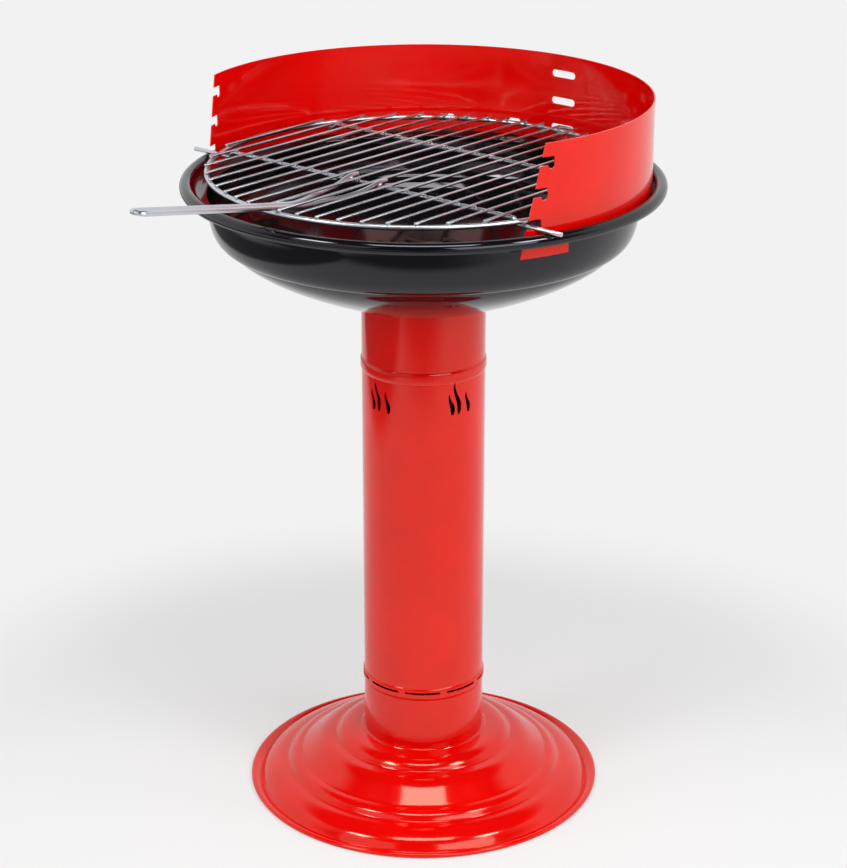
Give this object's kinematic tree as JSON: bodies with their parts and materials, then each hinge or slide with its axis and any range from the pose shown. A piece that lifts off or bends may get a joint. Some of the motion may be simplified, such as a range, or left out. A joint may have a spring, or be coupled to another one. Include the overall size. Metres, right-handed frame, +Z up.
{
  "type": "pedestal charcoal barbecue",
  "caption": "Free-standing charcoal barbecue: dished base, tubular column with flame-shaped vents, round bowl, notched windshield and a lift-out wire cooking grate.",
  "frame": {"origin": "on the floor, at the middle of the footprint of base, rim and handle; the column's axis is 72.5 mm behind it at x = 0", "axes": "+Z up from the floor, -Y towards the handle and the open front, +Y towards the middle of the windshield, +X to the right seen from the front"},
  "size_m": [0.4782, 0.6231, 0.7425],
  "materials": {
    "red_enamel": "glossy vitreous enamel on pressed sheet steel",
    "black_enamel": "glossy vitreous enamel on pressed sheet steel",
    "chromed_wire": "bright plated steel wire",
    "coal_steel": "heat-darkened bare steel wire",
    "zinc_steel": "zinc-plated plates, bolts and nuts"
  },
  "bodies": {
    "stand": {"base_dome": "red_enamel", "column_tube": "red_enamel", "column_foot_plate": "zinc_steel", "column_top_ring": "zinc_steel", "bowl": "black_enamel", "base_bolt_01": "zinc_steel", "base_bolt_02": "zinc_steel", "base_bolt_03": "zinc_steel", "base_nut_01": "zinc_steel", "base_nut_02": "zinc_steel", "base_nut_03": "zinc_steel", "bowl_bolt_01": "zinc_steel", "bowl_bolt_02": "zinc_steel", "bowl_bolt_03": "zinc_steel", "bowl_nut_01": "zinc_steel", "bowl_nut_02": "zinc_steel", "bowl_nut_03": "zinc_steel"},
    "windshield": {"windshield": "red_enamel"},
    "cooking_grate": {"cooking_ring": "chromed_wire", "cooking_bar_front": "chromed_wire", "cooking_bar_rear": "chromed_wire", "cooking_rod_01": "chromed_wire", "cooking_rod_02": "chromed_wire", "cooking_rod_03": "chromed_wire", "cooking_rod_04": "chromed_wire", "cooking_rod_05": "chromed_wire", "cooking_rod_06": "chromed_wire", "cooking_rod_07": "chromed_wire", "cooking_rod_08": "chromed_wire", "cooking_rod_09": "chromed_wire", "cooking_rod_10": "chromed_wire", "cooking_rod_11": "chromed_wire", "cooking_rod_12": "chromed_wire", "cooking_rod_13": "chromed_wire", "cooking_rod_14": "chromed_wire", "cooking_rod_15": "chromed_wire", "cooking_rod_16": "chromed_wire", "cooking_rod_17": "chromed_wire", "cooking_rod_18": "chromed_wire", "cooking_rod_19": "chromed_wire", "cooking_rod_20": "chromed_wire", "cooking_hook": "chromed_wire", "cooking_handle": "chromed_wire"},
    "coal_grate": {"coal_ring": "coal_steel", "coal_rod_01": "coal_steel", "coal_rod_02": "coal_steel", "coal_rod_03": "coal_steel", "coal_rod_04": "coal_steel", "coal_rod_05": "coal_steel", "coal_rod_06": "coal_steel", "coal_rod_07": "coal_steel", "coal_rod_08": "coal_steel", "coal_rod_09": "coal_steel"}
  },
  "joints": [
    {"name": "windshield_lift", "type": "slide", "parent": "stand", "child": "windshield", "axis": [0, 0, 1], "range_m": [0, 0.12]},
    {"name": "grate_tilt", "type": "hinge", "parent": "windshield", "child": "cooking_grate", "pos_m": [0, 0.2958, 0.664], "axis": [-1, 0, 0], "range_deg": [0, 1.15]},
    {"name": "coal_lift", "type": "slide", "parent": "stand", "child": "coal_grate", "axis": [0, 0, 1], "range_m": [0, 0.1]}
  ]
}
